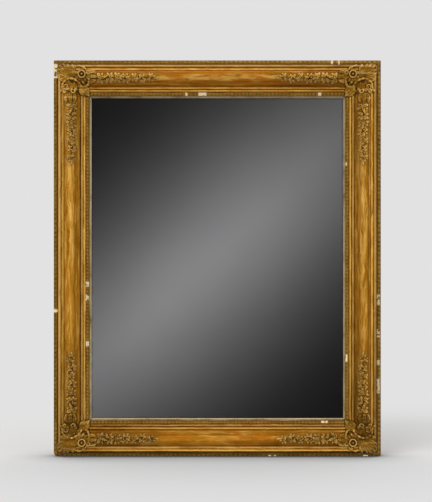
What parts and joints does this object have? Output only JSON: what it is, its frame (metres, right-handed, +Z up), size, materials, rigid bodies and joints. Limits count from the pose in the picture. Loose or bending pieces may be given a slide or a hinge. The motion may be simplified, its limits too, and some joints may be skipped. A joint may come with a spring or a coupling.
{
  "type": "wall mirror",
  "caption": "Rectangular wall mirror in a gilded wood frame with a swelling moulding, leaf borders, scrolled corner ornaments, foliate sprays and hinged hanger rings on the back.",
  "frame": {"origin": "on the floor, under the middle of the frame's width and depth", "axes": "+X to the right as seen from the front, +Y from the front to the back, +Z up"},
  "size_m": [0.924, 0.0906, 1.118],
  "materials": {
    "gilt_wood": "satin",
    "gilt_slip": "satin",
    "gilt_composition": "satin",
    "silvered_glass": "polished",
    "old_pine": "matte",
    "plain_wood": "matte",
    "iron": "matte",
    "hanger_brass": "satin"
  },
  "bodies": {
    "frame": {"backboard_left": "old_pine", "backboard_middle": "old_pine", "backboard_nails": "iron", "backboard_right": "old_pine", "corner_ornament_bottom_left": "gilt_composition", "corner_ornament_bottom_right": "gilt_composition", "corner_ornament_top_left": "gilt_composition", "corner_ornament_top_right": "gilt_composition", "glazing_blocks": "plain_wood", "hanger_screws": "iron", "hanger_strap_left": "hanger_brass", "hanger_strap_right": "hanger_brass", "mirror_glass": "silvered_glass", "mitre_key_bottom_left": "plain_wood", "mitre_key_bottom_right": "plain_wood", "mitre_key_top_left": "plain_wood", "mitre_key_top_right": "plain_wood", "outer_border_bottom": "gilt_composition", "outer_border_left": "gilt_composition", "outer_border_right": "gilt_composition", "outer_border_top": "gilt_composition", "rail_bottom": "gilt_wood", "rail_left": "gilt_wood", "rail_right": "gilt_wood", "rail_top": "gilt_wood", "sight_border_bottom": "gilt_composition", "sight_border_left": "gilt_composition", "sight_border_right": "gilt_composition", "sight_border_top": "gilt_composition", "sight_slip_bottom": "gilt_slip", "sight_slip_left": "gilt_slip", "sight_slip_right": "gilt_slip", "sight_slip_top": "gilt_slip", "spray_bottom_left": "gilt_composition", "spray_bottom_right": "gilt_composition", "spray_left_lower": "gilt_composition", "spray_left_upper": "gilt_composition", "spray_right_lower": "gilt_composition", "spray_right_upper": "gilt_composition", "spray_top_left": "gilt_composition", "spray_top_right": "gilt_composition"},
    "left_ring": {"hanger_ring_left": "hanger_brass"},
    "right_ring": {"hanger_ring_right": "hanger_brass"}
  },
  "joints": [
    {"name": "left_ring_swing", "type": "hinge", "parent": "frame", "child": "left_ring", "pos_m": [-0.423, 0.04303, 0.888], "axis": [1, 0, 0], "range_deg": [0, 180]},
    {"name": "right_ring_swing", "type": "hinge", "parent": "frame", "child": "right_ring", "pos_m": [0.423, 0.04303, 0.888], "axis": [1, 0, 0], "range_deg": [0, 180]}
  ]
}
